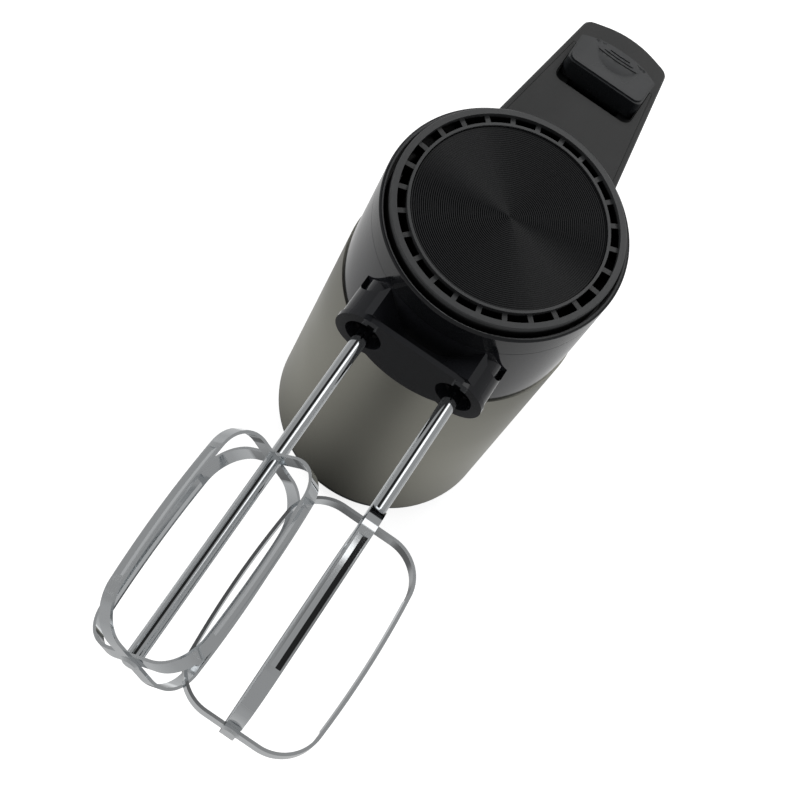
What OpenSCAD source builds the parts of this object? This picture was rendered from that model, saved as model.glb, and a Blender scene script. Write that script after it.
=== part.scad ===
// Hand mixer with a round body, a looped handle and two wire-strap beaters.
// The mixer stands on its heel: Z runs up the body axis from the heel to the nose,
// Y points from the beaters to the handle, and X runs from left to right.

/* [Body] */
// Length of the body from the heel pad to the front ring
body_l = 201; // [185:0.2:242]
// Outside diameter of the black front housing
housing_d = 97; // [95:0.2:118]
// How far the metal shell stands proud of the front housing
shell_step = 0.7; // [0.3:0.1:1.2]
// Thickness of the metal shell
shell_wall = 1.2; // [0.8:0.1:2]
// Wall thickness of the moulded housings
wall = 2.4; // [2:0.1:3]
// Distance from the front ring back to the seam with the metal shell
front_l = 61; // [56:1:70]
// Distance from the front ring back to the line between bezel and housing
bezel_l = 15.8; // [13:0.2:19]
// Radius that rounds the rear cover into the heel
heel_round = 12; // [8:0.5:16]
// Diameter of the rubber pad that the mixer stands on
heel_pad_d = 68; // [56:1:72]

/* [Nose] */
// How far the front ring stands ahead of the bezel
nose_step = 4.4; // [2:0.2:6]
// Outside radius of the front ring
ring_r = 45.6; // [44:0.1:46]
// Width of the gap between the front ring and the bezel
ring_gap = 1.1; // [0.4:0.1:1.2]
// Outer radius of the air slots
slot_ro = 43; // [41:0.1:44]
// Inner radius of the air slots
slot_ri = 39.2; // [38:0.1:40]
// Number of air slots
slots = 26; // [16:1:36]
// Width of the ribs between the slots
rib_w = 2; // [1.4:0.1:3]
// Distance from the front ring back to the ribs
rib_back = 1.8; // [0:0.1:3]
// Width of the thin ring round the disc
rim_w = 1.1; // [0.8:0.1:2]
// Distance between the grooves turned in the disc
groove_pitch = 0.8; // [0.6:0.1:2]
// Depth of the grooves turned in the disc
groove_depth = 0.3; // [0.1:0.05:0.5]

/* [Beaters] */
// Distance between the two beater axes
beater_gap = 40; // [38:0.5:48]
// Distance from the front ring back to the beater axes
beater_back = 30.5; // [27:0.5:34]
// Diameter of the beater shafts
shaft_d = 6; // [5:0.1:7.2]
// Length of a beater below the boss
beater_drop = 149.7; // [120:0.1:175]
// Height of the beater loops
loop_h = 89.3; // [70:0.1:105]
// Width of the beater loops
loop_w = 55; // [44:1:56]
// Corner radius of the beater loops
loop_r = 16; // [10:1:20]
// How far the legs of the loops bow outwards
loop_bow = 1.1; // [0.5:0.1:2]
// Width of the beater straps
strap_w = 5.4; // [4:0.1:7]
// Thickness of the beater straps
strap_t = 1.2; // [0.8:0.1:1.6]
// Depth of the crease pressed along each leg
crease = 0.5; // [0.2:0.1:0.6]
// Length of shaft that plugs into the mixer
plug_l = 41; // [36:0.1:50]

/* [Boss] */
// How far the boss stands out below the front housing
boss_drop = 10.8; // [9:0.1:15]
// Radius of the two ears of the boss
ear_r = 11.8; // [10.8:0.1:12.5]
// Radius of the beater sockets
socket_r = 7.6; // [7:0.1:8]
// Thickness of the plate that joins the ears
boss_plate = 2.2; // [1.6:0.1:3]

/* [Handle] */
// How far the top of the front plate stands above the front housing
handle_rise = 68.8; // [62:0.1:80]
// Distance from the front ring back to the front plate of the handle
plate_back = 20; // [17:0.5:24]
// Width of the front plate at the body
plate_w_low = 56; // [48:1:60]
// Width of the front plate at its top
plate_w_top = 39; // [34:1:44]
// Height of the grip
grip_h = 30; // [26:1:34]
// Width of the grip
grip_w = 34; // [30:1:38]
// Width of the border round the front panel
panel_border = 2.2; // [1.6:0.1:3.5]

/* [Controls] */
// Travel of the eject slide
eject_travel = 6; // [4:0.5:8]
// How far the eject slide stands out of the front panel
eject_proud = 7; // [5:0.5:9]
// Width of the eject slide
eject_w = 35; // [30:0.5:36]
// Travel of the speed slide from the first to the last step
speed_travel = 24; // [16:1:28]
// Travel of the turbo button
turbo_travel = 2.5; // [1.5:0.1:4]

/* [Drive] */
// Module of the worm and the worm wheels
gear_m = 1; // [0.9:0.05:1.1]
// Number of teeth on each worm wheel
wheel_teeth = 31; // [29:1:33]
// Number of threads on the worm
worm_starts = 2; // [1:1:2]
// Play between the worm thread and the wheel teeth
backlash = 0.35; // [0.2:0.05:0.5]
// Face width of the worm wheels
wheel_w = 8; // [6:0.5:10]
// Diameter of the motor shaft
motor_shaft_d = 5; // [4:0.5:6]
// Outside diameter of the field stack
stator_d = 62; // [56:1:66]
// Length of the field stack
stack_l = 40; // [30:1:44]
// Diameter of the rotor
rotor_d = 36; // [32:1:38]

/* [Fits] */
// Running clearance of a shaft in its bush, on the radius
run_fit = 0.05; // [0.03:0.01:0.1]
// Clearance between parts that plug together, on the radius
plug_fit = 0.2; // [0.1:0.05:0.4]
// Clearance round parts that slide
slide_fit = 0.4; // [0.3:0.05:0.8]
// Clearance round the turning parts
spin_gap = 0.6; // [0.4:0.1:1]

/* [Hidden] */

$fn = 96;
eps = 0.02;

// Body
housing_r = housing_d / 2;
shell_r = housing_r + shell_step;
shell_in = shell_r - shell_wall;
housing_in = housing_r - wall;
seam_z = body_l - front_l;
bezel_z = body_l - bezel_l;
bezel_front = body_l - nose_step;
bezel_in = ring_r + ring_gap;
bezel_seat = ring_r - 3.7;
line_gap = 0.25;
seat_gap = 0.15;
spigot_l = 9;
bezel_spigot = 4;
spigot_w = 1.8;
cover_z = heel_round + 1;
pad_t = 1.6;
pad_proud = 0.8;
foot_x = 20;
post_low = pad_proud + wall + 0.1;
wire_z = 24;
wire_w = 8;

// Beater axes
spin_x = beater_gap / 2;
spin_z = body_l - beater_back;

// Worm drive
pitch = PI * gear_m;
wheel_r = gear_m * wheel_teeth / 2;
worm_r = spin_x - wheel_r;
worm_tip = worm_r + 0.9 * gear_m;
worm_root = worm_r - 1.2 * gear_m;
lead = pitch * worm_starts;
lead_angle = atan(lead / (2 * PI * worm_r));
worm_l = 26;
frame_y = worm_tip + 2.6;
frame_t = 6;
// the frame's front corners pass inside the seat of the bezel
frame_half = min(spin_x + 14, sqrt(pow(bezel_seat - 0.5, 2) - pow(frame_y + frame_t, 2)));
bush_w = 5;
bush_r = 6;
front_wall_z = spin_z + 16.5;
rear_wall_z = spin_z - 22.5;
post_zs = [rear_wall_z + bush_w / 2, spin_z + 6.5];
post_x = spin_x + 10;
post_r = 3.5;
flank = tan(20);

// Boss and spindles
boss_y = housing_r + boss_drop;
socket_depth = 13;
bush_l = 9;
sleeve_r = shaft_d / 2 + 2;
sleeve_low = -boss_y + 3.3;
sleeve_top = frame_y + frame_t + 2;
pin_r = shaft_d / 2 - 0.6;
plug_top = -boss_y + plug_l;
key_w = 1.6;
key_y = sleeve_low + 5;

// Beaters
beater_low = -boss_y - beater_drop;
loop_mid = beater_low + loop_h / 2;
leg_half = loop_h / 2 - loop_r;
bow_r = (pow(leg_half, 2) + pow(loop_bow, 2)) / (2 * loop_bow);
crease_w = 4;
crease_turn = asin((leg_half - 1) / bow_r);
neck_r = 1.8;
neck_h = 2 * strap_t + 2 * eps;

// Handle
handle_top = housing_r + handle_rise;
plate_z = body_l - plate_back;
riser_t = 21;
corner_r = 5;
arch_r = 37;
grip_mid = handle_top + 1;
rear_z = 14;
riser_bottom = housing_r - 6;
// stations of the grip from the front riser round to its foot: height, distance
// from the heel, width and depth
grip_stations = [
    [handle_top - 24, plate_z - 6, grip_w + 1, grip_h + 15],
    [handle_top - 21.5, plate_z - 15, grip_w, grip_h + 11],
    [handle_top - 18, plate_z - 23, grip_w - 0.5, grip_h + 5],
    [handle_top - 15.3, plate_z - 34, grip_w - 0.5, grip_h + 0.5],
    [grip_mid - grip_h / 2, plate_z - 52, grip_w, grip_h],
    [grip_mid - grip_h / 2, 100, grip_w, grip_h],
    [grip_mid - grip_h / 2 - 0.3, 74, grip_w - 0.3, grip_h - 0.2],
    [grip_mid - grip_h / 2 - 3.4, 50, grip_w - 1, grip_h - 1.5],
    [grip_mid - grip_h / 2 - 13, rear_z + 17.5, grip_w - 2, grip_h - 3.5],
    [grip_mid - grip_h / 2 - 27, rear_z + 12, grip_w - 1.5, grip_h - 5.5],
    [shell_r + 14, rear_z + 12, grip_w, grip_h - 4],
    [shell_r + 2, rear_z + 14.5, grip_w + 4, grip_h + 2],
    [shell_r - 9, rear_z + 16, grip_w + 7, grip_h + 6]];
grip_steps = 3;
grip_sides = 32;
panel_t = 1.6;
control_z0 = 72;
control_l = 84;
control_w = 20;
control_t = 2.5;
control_top = grip_mid + 0.3;
cav_w = grip_w - 2 * wall - 6;
cav_low = handle_top - grip_h + 7;
board_top = grip_mid - 15.5;
board_t = 1.6;
cav_z = 58;

// Eject slide
slot_low = handle_top - 37.8;
slot_h = 22;
slot_top = slot_low + slot_h;
eject_low = slot_low + eject_travel + 0.2;
eject_h = 18.2;
rod_w = 8;
rod_t = 4;
yoke_y = sleeve_top + eject_travel + 2.5;
yoke_t = 3;
spring_floor = housing_r + 3.5;
eject_collar = spring_floor + 22;

// Speed slide and turbo button
speed_z = 118;
knob_l = 18;
knob_w = 13;
turbo_z = 88;
turbo_r = 6.5;
slit_w = 4;

// Motor
motor_r = motor_shaft_d / 2;
stack_z = 62;
rotor_r = rotor_d / 2;
fan_z = 112;
fan_l = 9;
fan_r = 29;
comm_z = 44;
comm_l = 11;
comm_r = 10;
shaft_low = 31;
rear_bush_z = 33.5;

// ---------------------------------------------------------------- helpers

// Turns a part drawn upwards so that it grows from height y towards the beaters.
module down(y, x = 0, z = spin_z) {
    translate([x, y, z]) rotate([90, 0, 0]) children();
}

// A ring between two radii.
module ring(ro, ri, h) {
    difference() {
        cylinder(r = ro, h = h);
        translate([0, 0, -1]) cylinder(r = ri, h = h + 2);
    }
}

// A block with four rounded upright edges, centred in x and y.
module rounded_block(w, l, h, r) {
    cube_w = w - 2 * r;
    cube_l = l - 2 * r;
    translate([-w / 2, -cube_l / 2, 0]) cube([w, cube_l, h]);
    translate([-cube_w / 2, -l / 2, 0]) cube([cube_w, l, h]);
    for (sx = [-1, 1], sy = [-1, 1])
        translate([sx * cube_w / 2, sy * cube_l / 2, 0]) cylinder(r = r, h = h, $fn = 48);
}

// Value of a smooth curve through list v, at step k of n after its point i.
function smooth(v, i, k, n) =
    let (last = len(v) - 1, a = v[max(i - 1, 0)], b = v[i], c = v[min(i + 1, last)], d = v[min(i + 2, last)], t = k / n)
    0.5 * (2 * b + (c - a) * t + (2 * a - 5 * b + 4 * c - d) * t * t + (3 * b - 3 * c + d - a) * t * t * t);

// Closed skin over rounded sections that follow the stations of a path in the plane of y and z.
module loft(stations, steps, sides) {
    last = len(stations) - 1;
    path = concat([for (i = [0 : last - 1], k = [0 : steps - 1]) smooth(stations, i, k, steps)],
        [stations[last]]);
    n = len(path);
    blunt = 0.68;
    pts = [for (i = [0 : n - 1])
        let (p = path[i], q = path[min(i + 1, n - 1)] - path[max(i - 1, 0)], a = atan2(q[0], -q[1]))
        for (k = [0 : sides - 1])
            let (b = 360 * k / sides, u = sign(cos(b)) * pow(abs(cos(b)), blunt) * p[2] / 2,
                v = sign(sin(b)) * pow(abs(sin(b)), blunt) * p[3] / 2)
            [u, p[0] + v * cos(a), p[1] + v * sin(a)]];
    faces = concat(
        [[for (k = [0 : sides - 1]) sides - 1 - k]],
        [for (i = [0 : n - 2], k = [0 : sides - 1])
            let (a = i * sides + k, b = i * sides + (k + 1) % sides) [a, b, b + sides, a + sides]],
        [[for (k = [0 : sides - 1]) (n - 1) * sides + k]]);
    polyhedron(points = pts, faces = faces, convexity = 8);
}

// Half width of the front plate at height y.
function plate_half(y) =
    let (low = plate_w_low / 2, top = plate_w_top / 2)
    low + (top - low) * (y - housing_r) / (handle_top - corner_r - housing_r);

// Points of the front plate's outline, drawn in by d all round.
function plate_points(d, low) =
    let (
        top = handle_top - d,
        side_y = handle_top - corner_r - 2.4,
        side_x = plate_half(side_y) - d,
        arch_x = side_x - corner_r + 1,
        arch_y = top - arch_r,
        a0 = asin(arch_x / arch_r),
        right = concat(
            [[plate_half(low) - d, low], [side_x, side_y]],
            [for (i = [1 : 3]) let (a = i * 25)
                [side_x - (corner_r - 1) * (1 - cos(a)),
                    side_y + (arch_y + arch_r * cos(a0) - side_y) * sin(a)]],
            [for (i = [0 : 5]) let (a = a0 * (1 - i / 6)) [arch_r * sin(a), arch_y + arch_r * cos(a)]]),
        n = len(right)
    )
    concat(right, [[0, top]], [for (i = [1 : n]) [-right[n - i][0], right[n - i][1]]]);

// A slab with the outline of the front plate, from z towards the nose.
module plate_slab(z, t, d, low = riser_bottom) {
    translate([0, 0, z]) linear_extrude(t) polygon(plate_points(d, low));
}

// ---------------------------------------------------------------- body

// Outline of the boss seen from below, with its ears drawn at radius r.
module boss_outline(r, front) {
    rear_r = 30;
    rear_z = 15.5;
    for (sx = [-1, 1]) translate([sx * spin_x, 0]) circle(r = r);
    intersection() {
        translate([-spin_x, -rear_z]) square([2 * spin_x, rear_z + front]);
        translate([0, rear_r - rear_z]) circle(r = rear_r);
    }
}

// Hollow between the ears, a flat-bottomed scoop with rounded corners.
module boss_scoop_outline() {
    r = 7;
    low = -0.8;
    half = spin_x - 14.8;
    lean = 42;
    mouth = 16;
    dx = r * cos(lean);
    dz = r * sin(lean);
    for (sx = [-1, 1]) translate([sx * half, low + r]) circle(r = r);
    translate([-half, low]) square([2 * half, 2 * r]);
    polygon([[-half - dx, low + r - dz], [half + dx, low + r - dz],
        [half + dx + mouth * tan(lean), mouth + low + r - dz],
        [-half - dx - mouth * tan(lean), mouth + low + r - dz]]);
}

module boss_body() {
    front = 13.2;
    ear = ear_r - 0.5;
    cut_r = 8.5;
    cut_y = housing_r - 9.9;
    difference() {
        union() {
            down(14 - housing_r) linear_extrude(boss_y - housing_r + 14 - boss_plate + eps) {
                boss_outline(ear, ear);
                // webs that run forward from the ears
                for (sx = [-1, 1]) translate([sx * spin_x, 0]) polygon([[-sx * 9, 0], [-sx * 9, front - 2],
                    [sx * 0.8, front], [sx * ear * cos(70), ear * sin(70)], [0, 0]]);
            }
            down(boss_plate - boss_y) linear_extrude(boss_plate) boss_outline(ear_r, ear_r + 0.4);
        }
        down(0) linear_extrude(boss_y - boss_plate) boss_scoop_outline();
        // arched cuts between each ear and the housing
        for (sx = [-1, 1])
            translate([sx * (spin_x + 0.4), -cut_y, spin_z]) rotate([0, sx * 40, 0]) difference() {
                cylinder(r = cut_r, h = 30);
                rotate([90, 0, 0]) translate([0, 0, -cut_r - 1])
                    cylinder(r = socket_r + 1.2, h = 2 * cut_r + 2);
            }
    }
}

module front_housing() {
    inner = boss_y - socket_depth;
    color([0.05, 0.05, 0.055])
    difference() {
        union() {
            difference() {
                union() {
                    translate([0, 0, seam_z]) cylinder(r = housing_r, h = bezel_z - line_gap - seam_z);
                    translate([0, 0, seam_z - spigot_l]) cylinder(r = shell_in - plug_fit, h = spigot_l + 1);
                    boss_body();
                }
                translate([0, 0, seam_z - spigot_l - 1]) cylinder(r = housing_in, h = body_l);
            }
            // towers that hold the spindle bushes
            for (sx = [-1, 1])
                intersection() {
                    down(-inner + bush_l + 3, sx * spin_x) cylinder(r = socket_r + wall, h = bush_l + 6);
                    translate([0, 0, seam_z]) cylinder(r = housing_r - 0.5, h = front_l);
                }
            // posts that the gear frame is screwed to
            intersection() {
                for (sx = [-1, 1], z = post_zs) down(housing_r, sx * post_x, z)
                    cylinder(r = post_r, h = housing_r - frame_y - frame_t - 0.1);
                translate([0, 0, seam_z]) cylinder(r = housing_r - 0.5, h = front_l);
            }
        }
        for (sx = [-1, 1]) {
            down(-inner, sx * spin_x) cylinder(r = socket_r, h = socket_depth + 1);
            down(-inner + bush_l, sx * spin_x) cylinder(r = socket_r, h = bush_l + eps);
            down(0, sx * spin_x) cylinder(r = sleeve_r + spin_gap, h = boss_y);
            // small notch at the front of each socket
            translate([sx * (spin_x - 1) - 1.4, -boss_y - 1, spin_z + socket_r - 1]) cube([2.8, 3.5, 2.6]);
        }
        for (sx = [-1, 1], z = post_zs) down(frame_y + frame_t + 9, sx * post_x, z) cylinder(r = 1.4, h = 12);
        // opening for the eject rod
        translate([-rod_w / 2 - 1, 0, spin_z - rod_t / 2 - 1]) cube([rod_w + 2, body_l, rod_t + 2]);
    }
}

module front_bezel() {
    round_r = 0.9;
    chamfer = 0.7;
    color([0.05, 0.05, 0.055])
    rotate_extrude(convexity = 6) {
        polygon([[bezel_in, bezel_z], [housing_r, bezel_z], [housing_r, bezel_front - round_r],
            [housing_r - round_r, bezel_front], [bezel_in + chamfer, bezel_front],
            [bezel_in, bezel_front - chamfer]]);
        translate([housing_r - round_r, bezel_front - round_r]) circle(r = round_r, $fn = 32);
        translate([housing_in - plug_fit - spigot_w, bezel_z - bezel_spigot])
            square([spigot_w, bezel_spigot + wall]);
        translate([bezel_seat, bezel_z]) square([housing_r - bezel_seat, wall]);
    }
}

// Grey face ring, ribs and cup in one moulding.
module nose_grille() {
    seat = bezel_z + wall + 0.1;
    rim_ri = slot_ri - rim_w;
    color([0.24, 0.25, 0.25])
    union() {
        rotate_extrude(convexity = 6) {
            polygon([[slot_ro, body_l - 4], [ring_r, body_l - 4], [ring_r, body_l - 0.4],
                [ring_r - 0.4, body_l], [slot_ro, body_l]]);
            translate([ring_r - 1.6, seat]) square([1.6, body_l - 3 - seat]);
            translate([rim_ri, body_l - 9]) square([rim_w, 9]);
            translate([0, body_l - 5]) square([rim_ri + 0.2, 2]);
        }
        for (i = [0 : slots - 1]) rotate([0, 0, 90 + i * 360 / slots])
            translate([slot_ri - 0.4, -rib_w / 2, body_l - 8])
                cube([slot_ro - slot_ri + 2.2, rib_w, 8 - rib_back]);
    }
}

// Turned disc with fine concentric grooves.
module nose_disc() {
    r = slot_ri - rim_w - 0.1;
    face = body_l - 0.7;
    back = body_l - 3;
    count = floor((r - 1.2) / groove_pitch);
    color([0.1, 0.1, 0.105])
    rotate_extrude(convexity = 4) polygon(concat(
        [[0, back], [r, back], [r, face - 0.2], [r - 0.3, face]],
        [for (i = [0 : count - 1], k = [0, 1])
            [r - 0.8 - (i + k / 2) * groove_pitch, face - k * groove_depth]],
        [[0, face]]));
}

module body_shell() {
    color([0.5, 0.49, 0.46])
    difference() {
        translate([0, 0, cover_z]) cylinder(r = shell_r, h = seam_z - line_gap - cover_z);
        translate([0, 0, cover_z - 1]) cylinder(r = shell_in, h = seam_z);
        // opening for the wires under the rear foot of the handle
        translate([-wire_w / 2 - 1, 0, wire_z - 1]) cube([wire_w + 2, body_l, wire_w + 2]);
    }
}

module rear_cover() {
    r = shell_r - 0.2;
    color([0.47, 0.46, 0.43])
    difference() {
        rotate_extrude(convexity = 6) difference() {
            union() {
                translate([0, pad_proud]) square([r - heel_round, heel_round]);
                translate([r - heel_round, heel_round + pad_proud]) intersection() {
                    circle(r = heel_round);
                    translate([0, -heel_round]) square(heel_round);
                }
                translate([0, heel_round + pad_proud - eps])
                    square([r, cover_z - heel_round - pad_proud + eps]);
                translate([0, cover_z - eps]) square([shell_in - plug_fit, spigot_l]);
            }
            translate([0, pad_proud + wall]) square([shell_in - plug_fit - spigot_w - heel_round / 2, 60]);
            translate([0, cover_z - 1]) square([shell_in - plug_fit - spigot_w, 60]);
        }
        translate([0, 0, -1]) cylinder(d = heel_pad_d + 2 * plug_fit, h = pad_t + 1);
        for (sx = [-1, 1]) translate([sx * foot_x, 0, -1]) cylinder(r = 1.7, h = 20);
    }
}

module heel_pad() {
    color([0.04, 0.04, 0.04])
    difference() {
        cylinder(d = heel_pad_d, h = pad_t);
        for (sx = [-1, 1]) translate([sx * foot_x, 0, -1]) cylinder(r = 4.2, h = pad_t + 2);
    }
}

module rear_screws() {
    color([0.6, 0.6, 0.6])
    for (sx = [-1, 1]) translate([sx * foot_x, 0, 0]) {
        difference() {
            translate([0, 0, pad_t - 1.2]) cylinder(r = 3.2, h = 1.2);
            for (a = [0, 90]) rotate(a) translate([-1.8, -0.35, 0]) cube([3.6, 0.7, pad_t - 0.4]);
        }
        translate([0, 0, pad_t - eps]) cylinder(r = 1.5, h = 16);
    }
}

// ---------------------------------------------------------------- handle

// Outer form of the handle, a front riser and a grip that curves down to its rear foot.
module handle_form() {
    hull() {
        plate_slab(plate_z - 0.1, 0.1, 0.8);
        plate_slab(plate_z - 1.2, 0.1, 0);
        plate_slab(plate_z - riser_t / 2, 0.1, 1.2);
        plate_slab(plate_z - riser_t, 0.1, 5);
    }
    loft(grip_stations, grip_steps, grip_sides);
}

module handle_shell() {
    color([0.06, 0.06, 0.065])
    difference() {
        handle_form();
        // seats on the housing and on the metal shell
        translate([0, 0, seam_z]) cylinder(r = housing_r + seat_gap, h = body_l);
        translate([0, 0, -1]) cylinder(r = shell_r + seat_gap, h = seam_z + 1);
        // recess for the front panel
        difference() {
            plate_slab(plate_z - panel_t, panel_t + 1, panel_border, riser_bottom - 5);
            translate([-50, slot_top - 2, 0]) cube([100, 50, 2 * body_l]);
        }
        // room for the eject slide and its rod
        translate([-12, slot_low, spin_z]) cube([24, slot_h - 1, 30]);
        translate([0, slot_low + slot_h / 2, plate_z - 5])
            rounded_block(eject_w + 2 * slide_fit, slot_h, 10, 3.5);
        translate([-8.5, spring_floor, plate_z - 17.5])
            cube([17, slot_top - spring_floor - 1, 15]);
        translate([-rod_w / 2 - 1, 0, spin_z - rod_t / 2 - 1]) cube([rod_w + 2, spring_floor + 1, rod_t + 2]);
        // recess for the control panel and the space below it
        translate([0, control_top - control_t, control_z0 + control_l / 2]) rotate([-90, 0, 0])
            rounded_block(control_w + 2 * plug_fit, control_l + 2 * plug_fit, 20, 6);
        translate([-control_w / 2 + 2.5, cav_low, control_z0 + 5])
            cube([control_w - 5, control_top - cav_low, control_l - 10]);
        translate([-cav_w / 2, cav_low, cav_z])
            cube([cav_w, control_top - control_t - 2 - cav_low, control_z0 + control_l - 3 - cav_z]);
        translate([-6, cav_low, control_z0 + control_l - 8]) cube([12, 12, 16]);
        // seat of the cord inlet, and wire way down to the body
        cord_axis() translate([0, 0, -1]) cylinder(r = 6.5 + plug_fit, h = 40);
        cord_axis() translate([0, 0, -18]) cylinder(r = 4, h = 30);
        translate([-wire_w / 2, 0, wire_z]) cube([wire_w, cav_low + 2, wire_w]);
        translate([-wire_w / 2, cav_low - 2, wire_z]) cube([wire_w, wire_w, cav_z - wire_z + 1]);
    }
}

// Moves a part drawn upwards to the cord's way out at the rear corner of the handle.
module cord_axis() {
    translate([0, grip_mid - 27, rear_z + 15]) rotate([-140, 0, 0]) children();
}

module front_panel() {
    color([0.14, 0.145, 0.15])
    difference() {
        intersection() {
            plate_slab(plate_z - panel_t + 0.1, panel_t - 0.1, panel_border + 0.15, riser_bottom - 4);
            translate([-50, 0, 0]) cube([100, slot_top - 2.15, 2 * body_l]);
        }
        translate([0, 0, seam_z]) cylinder(r = housing_r + seat_gap, h = body_l);
        // slot in which the eject slide runs
        translate([0, slot_low + 20, plate_z - 5]) rounded_block(eject_w + 2 * slide_fit, 40, 10, 3.5);
    }
}

module control_panel() {
    color([0.14, 0.145, 0.15])
    difference() {
        translate([0, control_top - control_t, control_z0 + control_l / 2]) rotate([-90, 0, 0])
            rounded_block(control_w, control_l, control_t, 5.8);
        translate([-slit_w / 2 - slide_fit, control_top - 5, speed_z - 3])
            cube([slit_w + 2 * slide_fit, 10, speed_travel + 6]);
        translate([0, control_top - 5, turbo_z]) rotate([-90, 0, 0])
            cylinder(r = turbo_r + slide_fit, h = 10);
    }
}

module cord_inlet() {
    color([0.04, 0.04, 0.04])
    cord_axis() difference() {
        union() {
            cylinder(r = 6.5, h = 14);
            translate([0, 0, 14 - eps]) cylinder(r1 = 6.5, r2 = 5.4, h = 3);
        }
        translate([0, 0, -1]) cylinder(r = 3.7, h = 30);
    }
}

// ---------------------------------------------------------------- controls

// Outline of the eject slide's face, with a low arch along its top.
module eject_outline(d) {
    w = eject_w - 2 * d;
    r = 3;
    intersection() {
        union() {
            translate([-w / 2 + r, eject_low + d]) square([w - 2 * r, eject_h]);
            translate([-w / 2, eject_low + d + r]) square([w, eject_h]);
            for (sx = [-1, 1]) translate([sx * (w / 2 - r), eject_low + d + r]) circle(r = r, $fn = 32);
        }
        translate([0, eject_low + eject_h - d - arch_r]) circle(r = arch_r);
    }
}

module eject_button() {
    face = plate_z + eject_proud;
    bevel = 0.8;
    scoop_r = 60;
    scoop_depth = 1.2;
    stem_low = spin_z + rod_t / 2 + 0.1;
    color([0.2, 0.205, 0.21])
    difference() {
        union() {
            translate([0, 0, plate_z + slide_fit]) linear_extrude(eject_proud - slide_fit - bevel)
                eject_outline(0);
            translate([0, 0, face - bevel - eps]) linear_extrude(bevel + eps) eject_outline(bevel);
            // body that runs in the slot of the panel
            translate([0, 0, plate_z - 4]) linear_extrude(4 + slide_fit + eps) intersection() {
                eject_outline(0);
                translate([-eject_w, 0]) square([2 * eject_w, slot_top - slide_fit]);
            }
            // stem down to the rod
            translate([-11, eject_low + 2, stem_low]) cube([22, eject_h - 8, plate_z - 3 - stem_low]);
        }
        // shallow thumb scoop near the top edge
        translate([0, eject_low + eject_h - 1, face + scoop_r - scoop_depth]) sphere(r = scoop_r);
        // grip lines
        for (i = [0 : 2]) translate([-9 + 2.2 * i, eject_low + 12.2 + 1.5 * i, face - 1.8])
            cube([18 - 4.4 * i, 0.5, 3]);
    }
}

module eject_rod() {
    top = eject_low + eject_h - 5;
    color([0.75, 0.75, 0.72])
    union() {
        translate([-spin_x - 4.5, yoke_y, spin_z - 5]) cube([2 * spin_x + 9, yoke_t, 10]);
        translate([-rod_w / 2, yoke_y, spin_z - rod_t / 2]) cube([rod_w, top - yoke_y, rod_t]);
        translate([-7.5, eject_collar, spin_z - 4]) cube([15, 3, 6]);
    }
}

// Closed tube swept round a helix, used for the springs.
module helix_spring(r, wire, h, turns, seg = 14, sides = 6) {
    n = turns * seg;
    pts = [for (i = [0 : n], k = [0 : sides - 1])
        let (a = 360 * i / seg, b = 360 * k / sides, rr = r + wire / 2 * cos(b))
        [rr * cos(a), rr * sin(a), wire / 2 + (h - wire) * i / n + wire / 2 * sin(b)]];
    faces = concat(
        [[for (k = [0 : sides - 1]) k]],
        [for (i = [0 : n - 1], k = [0 : sides - 1])
            let (a = i * sides + k, b = i * sides + (k + 1) % sides) [a, a + sides, b + sides, b]],
        [[for (k = [0 : sides - 1]) n * sides + sides - 1 - k]]);
    polyhedron(points = pts, faces = faces, convexity = 8);
}

module eject_spring() {
    color([0.7, 0.7, 0.7])
    translate([0, spring_floor + 0.2, spin_z]) rotate([-90, 0, 0])
        helix_spring(6, 0.8, eject_collar - spring_floor - 0.4, 6);
}

module speed_slider() {
    top = control_top + 0.3;
    color([0.2, 0.205, 0.21])
    difference() {
        union() {
            translate([0, top, speed_z]) rotate([-90, 0, 0]) rounded_block(knob_w, knob_l, 3.2, 3);
            translate([0, top + 3.2 - eps, speed_z]) rotate([-90, 0, 0])
                rounded_block(knob_w - 2, knob_l - 2, 1, 2.6);
            translate([-slit_w / 2, board_top + 7, speed_z - 2]) cube([slit_w, top - board_top - 6.9, 4]);
        }
        for (i = [-3 : 3]) translate([-knob_w, top + 3.6, speed_z + 2.2 * i - 0.4]) cube([2 * knob_w, 2, 0.8]);
    }
}

module speed_switch() {
    color([0.15, 0.2, 0.35])
    difference() {
        translate([-7, board_top, speed_z - 10]) cube([14, 9, speed_travel + 20]);
        translate([-slit_w / 2 - slide_fit, board_top + 6, speed_z - 3])
            cube([slit_w + 2 * slide_fit, 5, speed_travel + 6]);
    }
}

module turbo_button() {
    rim = turbo_travel + 0.3;
    color([0.2, 0.205, 0.21])
    translate([0, control_top, turbo_z]) rotate([-90, 0, 0]) difference() {
        union() {
            translate([0, 0, -5]) cylinder(r = turbo_r, h = 5 + rim);
            translate([0, 0, rim - eps]) cylinder(r1 = turbo_r, r2 = turbo_r - 0.7, h = 0.7);
            translate([0, 0, -7]) cylinder(r = 2, h = 2 + eps);
        }
        translate([0, 0, rim + 15.3]) sphere(r = 15);
    }
}

module turbo_spring() {
    color([0.7, 0.7, 0.7])
    translate([0, board_top + 0.2, turbo_z]) rotate([-90, 0, 0])
        helix_spring(3.4, 0.6, control_top - 5 - board_top - 0.4, 5);
}

module switch_board() {
    w = cav_w - 0.6;
    color([0.1, 0.3, 0.15])
    union() {
        translate([-w / 2, board_top - board_t, 76]) cube([w, board_t, 76]);
        for (z = [82, 100]) translate([-9, board_top - board_t - 6, z]) cube([8, 6 + eps, 12]);
    }
}

// ---------------------------------------------------------------- drive

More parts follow.
